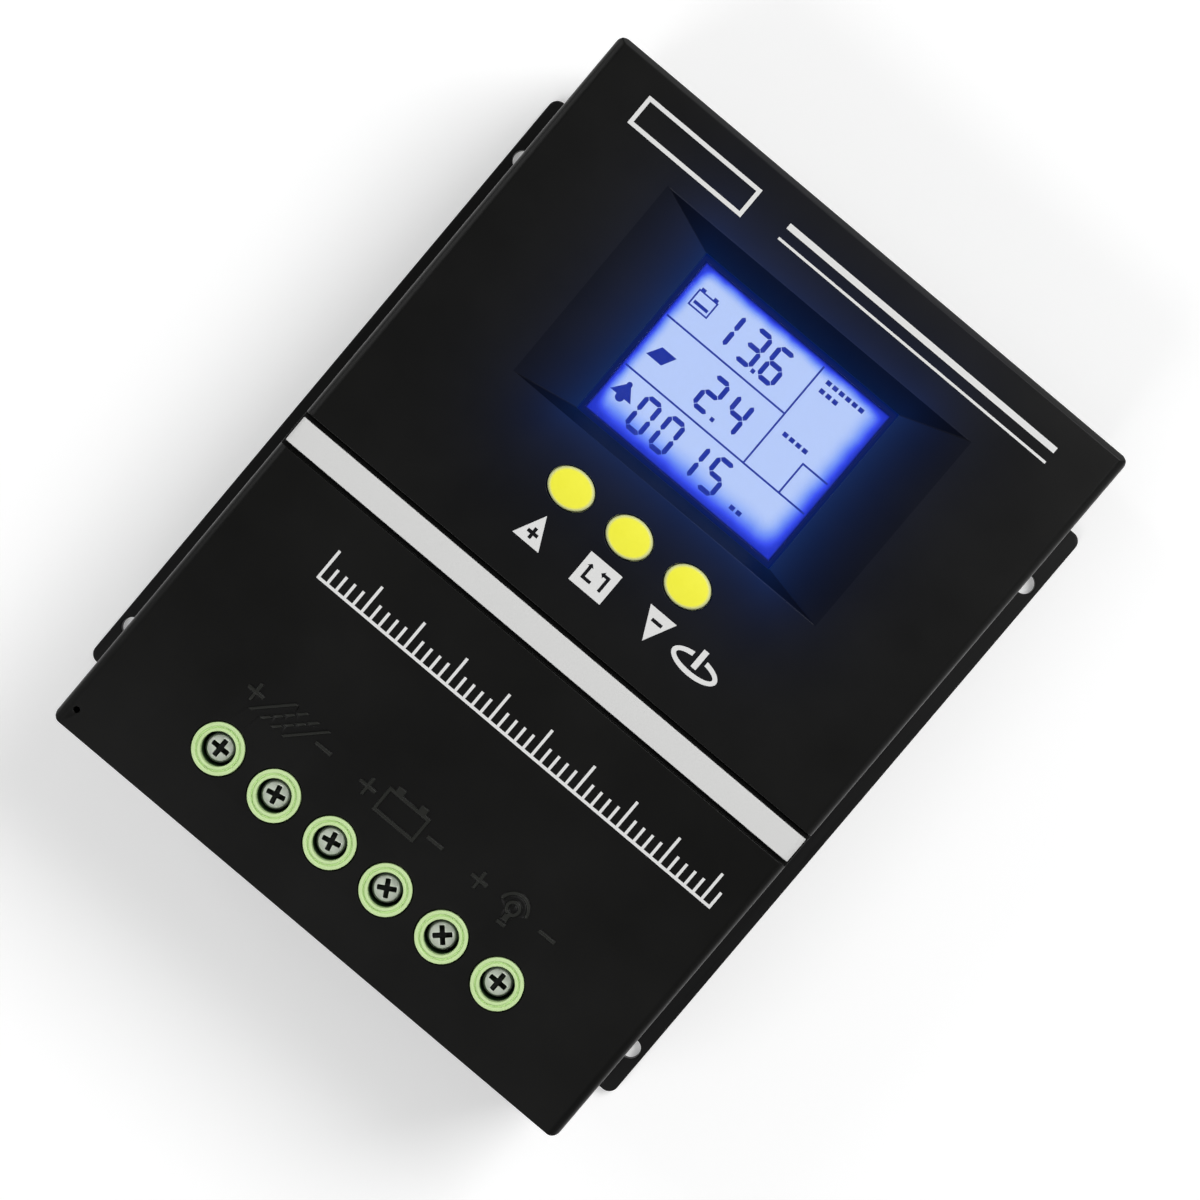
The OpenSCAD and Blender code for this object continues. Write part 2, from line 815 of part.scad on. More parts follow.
// One power transistor with its three leads bent up to the board
module transistor() {
  half_l = transistor_l / 2;
  tab_t = 1.3;
  lead_pitch = 2.54;
  lead_w = 0.8;
  lead_t = 0.6;
  lead_z = 2.2;
  bend_y = half_l + 3.1;
  block([-transistor_w / 2, -half_l, 0], [transistor_w / 2, half_l, transistor_h]);
  difference() {
    block([-transistor_w / 2, -half_l - transistor_tab, 0], [transistor_w / 2, join - half_l, tab_t]);
    translate([0, -half_l - transistor_tab / 2, -cut]) cylinder(r = 1.8, h = tab_t + 2 * cut);
  }
  for (x = lead_pitch * [-1, 0, 1]) {
    block([x - lead_w / 2, half_l - join, lead_z], [x + lead_w / 2, bend_y, lead_z + lead_t]);
    block(
      [x - lead_w / 2, bend_y - lead_t, lead_z],
      [x + lead_w / 2, bend_y, board_z - sink_top - pad_t]
    );
  }
}

module transistors() color(chip_black) {
  at(transistor_xs, transistor_ys, sink_top + pad_t) transistor();
}

module insulator_pads() color(pad_grey) {
  reach = transistor_w / 2 + 2;
  for (y = transistor_ys) block(
    [transistor_xs[0] - reach, y - transistor_l / 2 - transistor_tab - 1, sink_top],
    [transistor_xs[3] + reach, y + transistor_l / 2 + 1.5, sink_top + pad_t]
  );
}

module clamp_bars() color(steel) {
  half = clamp_end + 4;
  for (y = transistor_ys) difference() {
    block(
      [-half, y - clamp_bar_w / 2, clamp_bar_z],
      [half, y + clamp_bar_w / 2, clamp_bar_z + clamp_bar_t]
    );
    at([-clamp_end, clamp_end], [y], clamp_bar_z - cut)
      cylinder(r = screw_r + clear_hole, h = clamp_bar_t + 2 * cut);
  }
}

module clamp_screws() color(steel) {
  low_head_h = 1.2;
  end_gap = 0.4;
  at([-clamp_end, clamp_end], transistor_ys, clamp_bar_z + clamp_bar_t) pan_screw(
    screw_r, clamp_bar_z + clamp_bar_t - sink_top + pilot_deep - end_gap, screw_head_r, low_head_h
  );
}

module capacitors() color(sleeve_blue) {
  r = capacitor_r;
  rim = capacitor_rim;
  groove_z = 2.1;
  at(capacitor_pitch * [-1.5, -0.5, 0.5, 1.5], [capacitor_y], board_top) rotate_extrude() polygon([
    [0, 0], [r - rim, 0], [r, rim], [r, groove_z - 0.5], [r - 0.5, groove_z],
    [r, groove_z + 0.5], [r, capacitor_h - rim], [r - rim, capacitor_h], [0, capacitor_h]
  ]);
}

module inductor_core() color(core_yellow) {
  translate([coil_x, coil_y, coil_z]) difference() {
    cylinder(r = core_r, h = core_h);
    translate([0, 0, -cut]) cylinder(r = core_bore, h = core_h + 2 * cut);
  }
}

// Square turns round the core's section, evenly spaced
module inductor_winding() color(copper) {
  inner = [core_r - core_bore + 2 * coil_gap, core_h + 2 * coil_gap];
  middle = [(core_r + core_bore) / 2, core_h / 2];
  for (i = [0:coil_turns - 1]) translate([coil_x, coil_y, coil_z]) rotate(i * 360 / coil_turns)
    along_y(-wire_r, wire_r) translate(middle)
      frame([inner[0] + 4 * wire_r, inner[1] + 4 * wire_r], 2 * wire_r);
}

module fuse_holders() color(chip_black) {
  half_w = 4;
  half_l = 11;
  slot_half_w = 0.5;
  slot_half_l = 2.7;
  at(fuse_xs, [fuse_y], 0) difference() {
    block([-half_w, -half_l, board_top], [half_w, half_l, fuse_seat]);
    for (y = fuse_blade_y * [-1, 1]) block(
      [-slot_half_w, y - slot_half_l, board_top + 1],
      [slot_half_w, y + slot_half_l, fuse_seat + cut]
    );
  }
}

module fuses() color(fuse_orange) {
  at(fuse_xs, [fuse_y], fuse_seat) {
    block([-2.5, -9.5, 0], [2.5, 9.5, 8]);
    block([-1.6, -7, 8 - join], [1.6, 7, 11]);
    for (y = fuse_blade_y * [-1, 1]) block([-0.4, y - 2.5, -5], [0.4, y + 2.5, join]);
  }
}

module current_shunts() color(shunt_grey) {
  span = [16, 6];
  strip_t = 1;
  at([term_xs[2], term_xs[4]], [shunt_y], board_top) along_y(-2.5, 2.5) difference() {
    translate([-span[0] / 2, 0]) square(span);
    translate([-span[0] / 2 + strip_t, -cut]) square([span[0] - 2 * strip_t, span[1] - strip_t + cut]);
  }
}

module controller_chip() color(chip_black) {
  lead_w = 0.4;
  translate([-board_half * 0.6, header_y, board_top]) {
    block([-chip_half, -chip_half, 0.2], [chip_half, chip_half, 1.8]);
    for (turn = [0, 90, 180, 270], i = [-3.5:1:3.5]) rotate(turn)
      block([i - lead_w / 2, chip_half - join, 0], [i + lead_w / 2, chip_half + 1.2, lead_w]);
  }
}

module main_header() color(chip_black) {
  block(
    [-header_w / 2, cable_low_y - header_l / 2, board_top],
    [header_w / 2, cable_low_y + header_l / 2, board_top + header_h]
  );
}

module display_header() color(chip_black) {
  block(
    [-header_w / 2, header_y - header_l / 2, disp_z - header_h],
    [header_w / 2, header_y + header_l / 2, disp_z]
  );
}

// A flat ribbon: up out of the main header, across, and up into the display header
module ribbon_cable() color(ribbon_grey) {
  start = board_top + header_h;
  finish = disp_z - header_h;
  across = (start + finish) / 2;
  along_x(-header_w / 2 + 1, header_w / 2 - 1) union() {
    translate([cable_low_y - cable_t / 2, start]) square([cable_t, across - start - cable_bend]);
    translate([cable_low_y + cable_bend, across - cable_bend]) ribbon_bend([-1, 0]);
    translate([cable_low_y + cable_bend, across - cable_t / 2])
      square([header_run - 2 * cable_bend, cable_t]);
    translate([header_y - cable_bend, across + cable_bend]) ribbon_bend([0, -1]);
    translate([header_y - cable_t / 2, across + cable_bend])
      square([cable_t, finish - across - cable_bend]);
  }
}

// A quarter turn of the ribbon, in the quadrant that starts at the given corner
module ribbon_bend(corner) {
  reach = cable_bend + cable_t;
  intersection() {
    difference() {
      circle(cable_bend + cable_t / 2);
      circle(cable_bend - cable_t / 2);
    }
    translate(corner * reach) square(reach);
  }
}

// ---------- display and keys ----------

module display_board() color(board_green) {
  difference() {
    block(
      [-pillar_x - pillar_edge, pillar_ys[0] - pillar_edge, disp_z],
      [pillar_x + pillar_edge, pillar_ys[1] + pillar_edge, disp_top]
    );
    at([-pillar_x, pillar_x], pillar_ys, disp_z - cut)
      cylinder(r = small_screw_r + clear_hole, h = board_t + 2 * cut);
  }
}

module display_screws() color(steel) {
  at([-pillar_x, pillar_x], pillar_ys, disp_z) mirror([0, 0, 1])
    pan_screw(small_screw_r, board_t + 6, screw_head_r - 0.3, screw_head_h - 0.3);
}

module tact_switches() color(chip_black) {
  at(key_xs, [key_y], disp_top) difference() {
    block([-switch_w / 2, -switch_w / 2, 0], [switch_w / 2, switch_w / 2, switch_h]);
    translate([0, 0, switch_floor]) cylinder(r = plunger_r + slide_gap, h = switch_h);
  }
}

// A switch's plunger, which the key's stem pushes in
module plunger(i) color(plunger_red) {
  low = disp_top + switch_floor + fit_gap + key_travel;
  translate([key_xs[i], key_y, low]) cylinder(r = plunger_r, h = plunger_top - low);
}

module plunger_up() plunger(0);
module plunger_menu() plunger(1);
module plunger_down() plunger(2);

// An oval key cap with a stepped rim, a flange that holds it in, and a stem
module key(i) color(key_yellow) {
  cap_top = case_d + key_proud;
  translate([key_xs[i], key_y, 0]) {
    translate([0, 0, key_under]) linear_extrude(cap_top - key_rim - key_under) oval(key_w, key_h);
    translate([0, 0, cap_top - key_rim - join]) linear_extrude(key_rim + join)
      oval(key_w - 2 * key_rim, key_h - 2 * key_rim);
    translate([0, 0, key_under]) linear_extrude(key_flange_t)
      oval(key_w + 2 * key_flange, key_h + 2 * key_flange);
    translate([0, 0, plunger_top]) cylinder(r = stem_r, h = key_under - plunger_top + join);
  }
}

module key_up() key(0);
module key_menu() key(1);
module key_down() key(2);

module lcd_bezel() color(case_black) {
  pocket = lens_gap + lens_t + 0.05;
  outer_grow = 2 * (bezel_rim - 1);
  window_grow = 2 * bezel_in;
  pocket_grow = 2 * (lens_in + 0.1);
  translate([0, lcd_y, glass_top]) difference() {
    translate([0, 0, bezel_t / 2])
      cube([lcd_w + outer_grow, lcd_h + outer_grow, bezel_t], center = true);
    cube([view_w + window_grow, view_h + window_grow, 4 * bezel_t], center = true);
    cube([view_w + pocket_grow, view_h + pocket_grow, 2 * pocket], center = true);
  }
}

module lcd_window() color(window_clear) {
  translate([0, lcd_y, glass_top + lens_gap + lens_t / 2])
    cube([view_w + 2 * lens_in, view_h + 2 * lens_in, lens_t], center = true);
}

module lcd_glass() color(display_blue) {
  translate([0, lcd_y, glass_top - glass_t / 2]) cube([glass_w, glass_h, glass_t], center = true);
}

module lcd_backlight() color(guide_white) {
  height = light_top - disp_top;
  pin_room = 1.2;
  translate([0, lcd_y, disp_top + height / 2])
    cube([glass_w, glass_h - 2 * pin_room, height], center = true);
}

module lcd_pins() color(steel) {
  pin_pitch = 2;
  pin_y = glass_h / 2 - 0.6;
  at(pin_pitch * [for (i = [-11.5:1:11.5]) i], [lcd_y - pin_y, lcd_y + pin_y], disp_top)
    block([-0.3, -0.2, 0], [0.3, 0.2, light_top - disp_top]);
}

// One segment with pointed ends, lying along x
module segment(length, line) {
  half = line / 2;
  polygon([
    [-length / 2, 0], [-length / 2 + half, half], [length / 2 - half, half],
    [length / 2, 0], [length / 2 - half, -half], [-length / 2 + half, -half]
  ]);
}

module figure(value, w, h) {
  line = w * 0.24;
  gap = line * 0.15;
  x_mid = (w - line) / 2;
  y_mid = (h - line) / 4;
  spots = [
    ["a", 0, 2, 0], ["b", 1, 1, 90], ["c", 1, -1, 90], ["d", 0, -2, 0],
    ["e", -1, -1, 90], ["f", -1, 1, 90], ["g", 0, 0, 0]
  ];
  for (s = spots) if (len(search(s[0], figures[value])) > 0)
    translate([s[1] * x_mid, s[2] * y_mid]) rotate(s[3])
      segment((s[3] == 0 ? w - line : (h - line) / 2) - gap, line);
}

// Figures centred at the given x places, then a decimal point where dot_x is a number
module figure_row(values, xs, y, w, h, dot_x) {
  for (i = [0:len(values) - 1]) translate([xs[i], y]) figure(values[i], w, h);
  if (is_num(dot_x)) translate([dot_x, y - h / 2 + 0.5]) square(1, center = true);
}

module lcd_segments() color(ink_navy) {
  line = 0.45;
  left = -view_w / 2 + 0.6;
  right = view_w / 2 - 0.6;
  top = view_h / 2 - 0.8;
  split_x = 8.4;
  row_a = 6.5;
  row_b = -8;
  box_x = 18.9;
  box_y = 0.5;
  figure_w = 5;
  figure_h = 9.4;
  translate([0, lcd_y, glass_top]) linear_extrude(ink_t) {
    translate([left, row_a - line / 2]) square([split_x - left, line]);
    translate([left, row_b - line / 2]) square([right - left, line]);
    translate([split_x - line / 2, row_b]) square([line, top - row_b]);
    translate([box_x - line / 2, row_b]) square([line, box_y - row_b]);
    translate([box_x - line / 2, box_y - line / 2]) square([right - box_x, line]);
    figure_row([1, 3, 6], [-14.2, -6.5, 0], 13.4, figure_w, figure_h, -3.3);
    figure_row([2, 4], [-7, 0.3], -0.9, figure_w, figure_h, -3.3);
    figure_row([0, 0, 1, 5], [-15.7, -8.8, -1.3, 5.6], -14.4, figure_w, figure_h, undef);
    translate([-21.7, 13.6]) battery_icon();
    translate([-21.4, -1.6]) panel_icon();
    translate([-22.6, -13]) lamp_icon();
    for (y = [17.6, 15.2]) translate([11, y]) level_marks(y > 16 ? 6 : 3);
    translate([11, 2.4]) level_marks(4);
    translate([12.4, -18]) level_marks(2);
  }
}

// A short row of plain marks
module level_marks(count) {
  for (i = [0:count - 1]) translate([i * 1.9, 0]) square([1.3, 1.1]);
}

module battery_icon() {
  difference() {
    square([5.6, 4.4], center = true);
    square([4.8, 3.6], center = true);
  }
  translate([0, -0.8]) square([4, 0.8], center = true);
  for (x = [-1.8, 1.8]) translate([x, 2.5]) square([1.2, 0.7], center = true);
}

module panel_icon() {
  polygon([[-3, -1.6], [1.4, -1.6], [3.2, 1.8], [-1, 1.8]]);
}

module lamp_icon() {
  polygon([[-3, -1.4], [3, -1.4], [0.7, 1.6], [-0.7, 1.6]]);
  translate([0, 1.9]) circle(0.7);
  translate([0, -1.6]) circle(1.1);
}

// ---------- terminals ----------

// A two-way terminal housing with a round collar over each screw
module terminal_block(pair) color(collar_green) {
  xs = [term_xs[2 * pair], term_xs[2 * pair + 1]];
  half = term_pitch - fit_gap / 2;
  collar_top = case_d + collar_proud;
  cavity_w = clamp_w + 2 * fit_gap;
  cavity_l = clamp_l + 2 * fit_gap;
  leg_high = contact_leg_y + bar_metal + drop_in;
  difference() {
    union() {
      block([pair_x(pair) - half, block_low, board_top], [pair_x(pair) + half, block_high, block_top]);
      at(xs, [term_y], block_top - join) cylinder(d = collar_d, h = collar_top - block_top + join);
    }
    for (x = xs) {
      block(
        [x - cavity_w / 2, term_y - cavity_l / 2, cavity_low],
        [x + cavity_w / 2, term_y + cavity_l / 2, cavity_top]
      );
      block(
        [x - wire_w / 2, block_low - cut, entry_mid - wire_h / 2],
        [x + wire_w / 2, term_y, entry_mid + wire_h / 2]
      );
      block(
        [x - contact_w / 2 - drop_in, term_y, board_top - cut],
        [x + contact_w / 2 + drop_in, leg_high, contact_top + drop_in]
      );
      translate([x, term_y, cavity_top - cut])
        cylinder(r = thread_d / 2 + clear_hole, h = head_z - cavity_top + 2 * cut);
      translate([x, term_y, head_z]) cylinder(d = collar_bore, h = collar_top - head_z + cut);
      translate([x, term_y, collar_top - collar_groove]) difference() {
        cylinder(d = collar_bore + 2.3, h = collar_groove + cut);
        translate([0, 0, -cut]) cylinder(d = collar_bore + 1.5, h = 3 * cut);
      }
    }
  }
}

module terminal_block_solar() terminal_block(0);
module terminal_block_battery() terminal_block(1);
module terminal_block_load() terminal_block(2);

// Six fixed bars that the wires are gripped against, each on a leg down to the board
module contact_bars() color(tin) {
  leg_high = contact_leg_y + bar_metal;
  for (x = term_xs) {
    block(
      [x - contact_w / 2, term_y - contact_front, contact_low],
      [x + contact_w / 2, leg_high, contact_top]
    );
    block(
      [x - contact_w / 2, contact_leg_y, board_top],
      [x + contact_w / 2, leg_high, contact_top]
    );
  }
}

// A terminal screw: its head stands in the collar, and its shank turns in the wire clamp
module terminal_screw(i) color(steel) {
  seat = head_z + 0.1;
  shank_low = contact_top + 0.2;
  translate([term_xs[i], term_y, seat]) rotate(cross_angles[i])
    pan_screw(thread_d / 2, seat - shank_low, head_d / 2, head_h);
}

module terminal_screw_1() terminal_screw(0);
module terminal_screw_2() terminal_screw(1);
module terminal_screw_3() terminal_screw(2);
module terminal_screw_4() terminal_screw(3);
module terminal_screw_5() terminal_screw(4);
module terminal_screw_6() terminal_screw(5);

// A square cage round the contact bar: the turning screw draws it up and grips the wire
module wire_clamp(i) color(nickel) {
  translate([term_xs[i], term_y, 0]) difference() {
    block([-clamp_w / 2, -clamp_l / 2, clamp_low], [clamp_w / 2, clamp_l / 2, clamp_top]);
    block(
      [-clamp_w / 2 + clamp_wall, -clamp_l / 2 - cut, clamp_inner_low],
      [clamp_w / 2 - clamp_wall, clamp_l / 2 + cut, clamp_top - clamp_top_t]
    );
    translate([0, 0, clamp_top - clamp_top_t - cut])
      cylinder(r = thread_d / 2 + thread_gap, h = clamp_top_t + 2 * cut);
  }
}

module wire_clamp_1() wire_clamp(0);
module wire_clamp_2() wire_clamp(1);
module wire_clamp_3() wire_clamp(2);
module wire_clamp_4() wire_clamp(3);
module wire_clamp_5() wire_clamp(4);
module wire_clamp_6() wire_clamp(5);

heat_sink();
rear_case();
upper_cover();
lower_cover();
trim_bar();
cover_screws();
main_board();
standoffs();
board_screws();
transistors();
insulator_pads();
clamp_bars();
clamp_screws();
capacitors();
inductor_core();
inductor_winding();
fuse_holders();
fuses();
current_shunts();
controller_chip();
main_header();
ribbon_cable();
display_header();
display_board();
display_screws();
tact_switches();
lcd_bezel();
lcd_window();
lcd_glass();
lcd_segments();
lcd_pins();
lcd_backlight();
printed_symbols();
printed_scale();
key_up();
key_menu();
key_down();
plunger_up();
plunger_menu();
plunger_down();
terminal_block_solar();
terminal_block_battery();
terminal_block_load();
contact_bars();
terminal_screw_1();
terminal_screw_2();
terminal_screw_3();
terminal_screw_4();
terminal_screw_5();
terminal_screw_6();
wire_clamp_1();
wire_clamp_2();
wire_clamp_3();
wire_clamp_4();
wire_clamp_5();
wire_clamp_6();
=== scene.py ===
"""Looks of a wall-mounted solar charge controller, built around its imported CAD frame."""

import json
import math

import bmesh
import bpy
from mathutils import Matrix, Vector
from mathutils.bvhtree import BVHTree


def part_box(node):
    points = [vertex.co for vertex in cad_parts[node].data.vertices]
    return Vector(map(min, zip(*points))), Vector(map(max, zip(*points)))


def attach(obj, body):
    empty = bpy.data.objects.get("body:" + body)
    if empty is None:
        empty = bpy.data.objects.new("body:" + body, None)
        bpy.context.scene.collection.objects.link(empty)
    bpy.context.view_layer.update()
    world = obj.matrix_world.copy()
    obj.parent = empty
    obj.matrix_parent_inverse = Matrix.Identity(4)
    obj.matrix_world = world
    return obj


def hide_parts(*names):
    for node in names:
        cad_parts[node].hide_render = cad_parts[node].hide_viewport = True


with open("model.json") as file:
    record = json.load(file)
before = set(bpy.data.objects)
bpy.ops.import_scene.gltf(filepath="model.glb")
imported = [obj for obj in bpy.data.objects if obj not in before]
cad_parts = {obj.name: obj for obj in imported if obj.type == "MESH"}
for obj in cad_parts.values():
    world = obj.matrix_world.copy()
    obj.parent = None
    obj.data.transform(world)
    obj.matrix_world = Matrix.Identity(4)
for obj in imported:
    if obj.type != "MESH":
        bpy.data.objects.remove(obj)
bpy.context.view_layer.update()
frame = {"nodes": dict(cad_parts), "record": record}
NODES = frame["nodes"]
MM = 0.001
WELD = 0.002  # points this close, in millimetres, are one
STRAY = 0.55  # a rounded edge's points lie no further from the CAD's surface than this share of its width
SHARP_ANGLE = 30  # degrees between two faces, above which the edge between them is rounded
BODY_OF = {node: body for body, nodes in frame["record"]["behaviour"]["bodies"].items() for node in nodes}

# ---------- places, all from the CAD ----------


def box_mm(node):
    """A node's lowest and highest corners, in millimetres."""
    low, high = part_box(node)
    return Vector(low) / MM, Vector(high) / MM


def middle(node):
    low, high = box_mm(node)
    return (low + high) / 2


# Lengths are in millimetres.
FACE_Z = box_mm("upper_cover")[1].z
FACE_T = 2.6  # thickness of the upper cover's face
WINDOW_LOW, WINDOW_HIGH = box_mm("lcd_window")
LCD = middle("lcd_window")
WINDOW_RIM = 1.5  # the window reaches this far past the lit view on every side
VIEW_HALF = Vector((
    (WINDOW_HIGH.x - WINDOW_LOW.x) / 2 - WINDOW_RIM,
    (WINDOW_HIGH.y - WINDOW_LOW.y) / 2 - WINDOW_RIM,
))
OPENING_HALF = Vector((VIEW_HALF.x + 1.3, VIEW_HALF.y + 1.55))  # the opening is a little wider than the view
KEY_FLANGE = 1.1  # how far a key's flange stands out round its cap
KEY_FLANGE_T = 1.1  # thickness of that flange
KEY_GAP = 0.3  # between the flange and the cover's face above it
GLOW_REACH = 6.8  # the display's light on the plastic falls to 37 % over this distance
GLOW_DEPTHS = (12, 6)  # depths below the face between which that light grows from none to full
RECESS_REACH = 18  # how far the slopes round the display opening may reach
FADES = {"left": 3.4, "right": 6.4, "low": 8.0, "top": 3.4}  # widths of the view's blue borders

# ---------- material helper ----------


class Surface:
    """A node material: one Principled shader, with short calls for its noise, ramps and bump."""

    def __init__(self, name, colour, roughness=0.5, **sockets):
        self.material = bpy.data.materials.new(name)
        self.material.use_nodes = True
        self.tree = self.material.node_tree
        self.shader = self.tree.nodes["Principled BSDF"]
        self.shader.inputs["Base Color"].default_value = (*colour, 1)
        self.shader.inputs["Roughness"].default_value = roughness
        for key, value in sockets.items():
            self.shader.inputs[key.replace("_", " ")].default_value = value
        self.place = self.node("ShaderNodeTexCoord").outputs["Object"]

    def node(self, kind, **props):
        made = self.tree.nodes.new(kind)
        for key, value in props.items():
            setattr(made, key, value)
        return made

    def feed(self, socket, value):
        """Links an output, or writes a constant, into an input; a colour may leave its alpha out."""
        if isinstance(value, bpy.types.NodeSocket):
            self.tree.links.new(value, socket)
        elif socket.type == "RGBA":
            socket.default_value = (*value[:3], 1)
        else:
            socket.default_value = value

    def set(self, name, value):
        self.feed(self.shader.inputs[name], value)

    def math(self, operation, a, b=0.0):
        made = self.node("ShaderNodeMath", operation=operation)
        for socket, value in zip(made.inputs, (a, b)):
            self.feed(socket, value)
        return made.outputs[0]

    def axes(self):
        made = self.node("ShaderNodeSeparateXYZ")
        self.feed(made.inputs[0], self.place)
        return made.outputs

    def scaled(self, x, y, z):
        made = self.node("ShaderNodeMapping")
        self.feed(made.inputs["Vector"], self.place)
        made.inputs["Scale"].default_value = (x, y, z)
        return made.outputs[0]

    def noise(self, size_mm, detail=3.0, rough=0.5, vector=None):
        """Noise whose blobs are about size_mm across."""
        made = self.node("ShaderNodeTexNoise")
        self.feed(made.inputs["Vector"], vector or self.place)
        made.inputs["Scale"].default_value = 1 / (size_mm * MM)
        made.inputs["Detail"].default_value = detail
        made.inputs["Roughness"].default_value = rough
        return made.outputs["Fac"]

    def remap(self, value, low, high, to_low=0.0, to_high=1.0, smooth=False):
        made = self.node("ShaderNodeMapRange")
        made.interpolation_type = "SMOOTHSTEP" if smooth else "LINEAR"
        numbers = (value, low, high, to_low, to_high)
        for socket, number in zip(made.inputs, numbers):
            self.feed(socket, number)
        return made.outputs["Result"]

    def mix(self, factor, a, b):
        made = self.node("ShaderNodeMix", data_type="RGBA")
        self.feed(made.inputs[0], factor)
        self.feed(colour_socket(made.inputs, "A"), a)
        self.feed(colour_socket(made.inputs, "B"), b)
        return colour_socket(made.outputs, "Result")

    def ramp(self, factor, stops):
        made = self.node("ShaderNodeValToRGB")
        self.feed(made.inputs["Fac"], factor)
        elements = made.color_ramp.elements
        while len(elements) < len(stops):
            elements.new(0.5)
        for element, (place, colour) in zip(elements, stops):
            element.position = place
            element.color = (*colour, 1)
        return made.outputs["Color"]

    def bump(self, height, depth_mm, strength):
        made = self.node("ShaderNodeBump")
        made.inputs["Strength"].default_value = strength
        made.inputs["Distance"].default_value = depth_mm * MM
        self.feed(made.inputs["Height"], height)
        self.set("Normal", made.outputs["Normal"])

    def emit(self, colour, strength):
        self.set("Emission Color", colour)
        self.set("Emission Strength", strength)


def colour_socket(sockets, name):
    """A Mix node has one socket of each name for every data type; this is the colour one."""
    return next(s for s in sockets if s.name == name and s.type == "RGBA")


def shade(rgb):
    """A colour given as 0 to 255 display values, made linear."""
    return tuple(((v / 255 + 0.055) / 1.055) ** 2.4 if v > 10 else v / 255 / 12.92 for v in rgb)


# ---------- materials ----------


def lcd_distance(s):
    """Distance outside the display opening, in millimetres, as a node output."""
    x, y, _ = s.axes()
    across = s.math("SUBTRACT", s.math("ABSOLUTE", s.math("SUBTRACT", x, LCD.x * MM)), OPENING_HALF.x * MM)
    along = s.math("SUBTRACT", s.math("ABSOLUTE", s.math("SUBTRACT", y, LCD.y * MM)), OPENING_HALF.y * MM)
    across = s.math("MAXIMUM", across, 0.0)
    along = s.math("MAXIMUM", along, 0.0)
    squares = s.math("ADD", s.math("MULTIPLY", across, across), s.math("MULTIPLY", along, along))
    return s.math("DIVIDE", s.math("SQRT", squares), MM)


def moulded_black(name, glow=0.0, relief_highlight=False, gloss=0.2, tint=(0, 112, 255)):
    """Satin black moulding with a fine grain; glow adds the display's light on the plastic round it,
    and the relief switch paints a highlight on what stands out of the face, making it paler."""
    s = Surface(name, shade((11, 11, 10)), Specular_IOR_Level=gloss)
    grain = s.noise(0.35, 2.0, 0.6)
    cloud = s.noise(26, 3.0)
    s.set("Roughness", s.remap(s.math("ADD", s.math("MULTIPLY", grain, 0.35), cloud), 0.3, 1.05, 0.33, 0.42))
    tone = s.mix(s.remap(cloud, 0.3, 0.7), shade((9, 9, 8)), shade((13, 13, 12)))
    if relief_highlight:
        # painted highlight: the raised marks are made paler than the face round them
        _, _, height = s.axes()
        tone = s.mix(s.remap(height, (FACE_Z + 0.1) * MM, (FACE_Z + 0.4) * MM), tone, shade((35, 36, 33)))
    s.set("Base Color", tone)
    s.bump(grain, 0.018, 0.55)
    if glow:
        fall = s.math("POWER", math.e, s.math("MULTIPLY", lcd_distance(s), -1 / GLOW_REACH))
        deep, shallow = GLOW_DEPTHS
        on_face = s.remap(s.axes()[2], (FACE_Z - deep) * MM, (FACE_Z - shallow) * MM)
        fall = s.math("MULTIPLY", fall, on_face)
        s.emit(shade(tint), s.math("MULTIPLY", fall, glow))
    return s.material


def anodised_black():
    """The heat sink's black finish, with the lines of its extrusion along it."""
    s = Surface("anodised_black", shade((12, 12, 12)), 0.45, Specular_IOR_Level=0.22)
    lines = s.noise(0.5, 3.0, 0.6, s.scaled(1, 0.02, 1))
    s.set("Roughness", s.remap(lines, 0.3, 0.7, 0.38, 0.56))
    s.set("Base Color", s.mix(s.noise(14), shade((10, 10, 10)), shade((14, 14, 15))))
    s.bump(lines, 0.02, 0.5)
    return s.material


def satin(name, colour, roughness=0.4, spread=0.06, grain_mm=0.4, depth=0.01, **sockets):
    """A moulded or coated surface with a slight change of tone and a light grain."""
    s = Surface(name, colour, roughness, **sockets)
    cloud = s.noise(7, 3.0)
    grain = s.noise(grain_mm, 2.0)
    dark = tuple(v * (1 - spread) for v in colour)
    pale = tuple(min(1, v * (1 + spread)) for v in colour)
    s.set("Base Color", s.mix(cloud, dark, pale))
    s.set("Roughness", s.remap(grain, 0.25, 0.75, roughness * 0.85, roughness * 1.15))
    s.bump(grain, depth, 0.6)
    return s.material


def metal(name, colour, roughness=0.3, scratch_mm=0.25, stretch=(1, 0.05, 1)):
    """Plated or bare metal with fine scratches and a clouded gloss."""
    s = Surface(name, colour, roughness, Metallic=1.0)
    lines = s.noise(scratch_mm, 3.0, 0.6, s.scaled(*stretch))
    cloud = s.noise(2.5, 3.0)
    s.set("Roughness", s.remap(s.math("ADD", lines, cloud), 0.6, 1.4, roughness * 0.75, roughness * 1.35))
    s.set("Base Color", s.mix(cloud, tuple(v * 0.86 for v in colour), colour))
    s.bump(lines, 0.006, 0.5)
    return s.material


def key_rubber():
    """Yellow key plastic, a little paler and duller in colour round its rim, where a highlight is painted.
    """
    s = Surface("key_yellow", shade((250, 246, 62)), 0.42, Specular_IOR_Level=0.4)
    low, high = box_mm("key_up")
    across, along, _ = s.axes()
    across = s.math("DIVIDE", across, ((high.x - low.x) / 2 - KEY_FLANGE) * MM)
    along = s.math("DIVIDE", along, ((high.y - low.y) / 2 - KEY_FLANGE) * MM)
    squares = s.math("ADD", s.math("MULTIPLY", across, across), s.math("MULTIPLY", along, along))
    # painted highlight on the cap's rounded rim
    rim_highlight = s.remap(squares, 0.66, 0.94, smooth=True)
    face = s.mix(s.noise(3.0), shade((252, 249, 68)), shade((247, 244, 56)))
    s.set("Base Color", s.mix(rim_highlight, face, shade((214, 219, 156))))
    s.set("Roughness", s.remap(s.noise(0.3), 0.3, 0.7, 0.36, 0.5))
    s.bump(s.noise(0.25, 2.0), 0.008, 0.6)
    return s.material


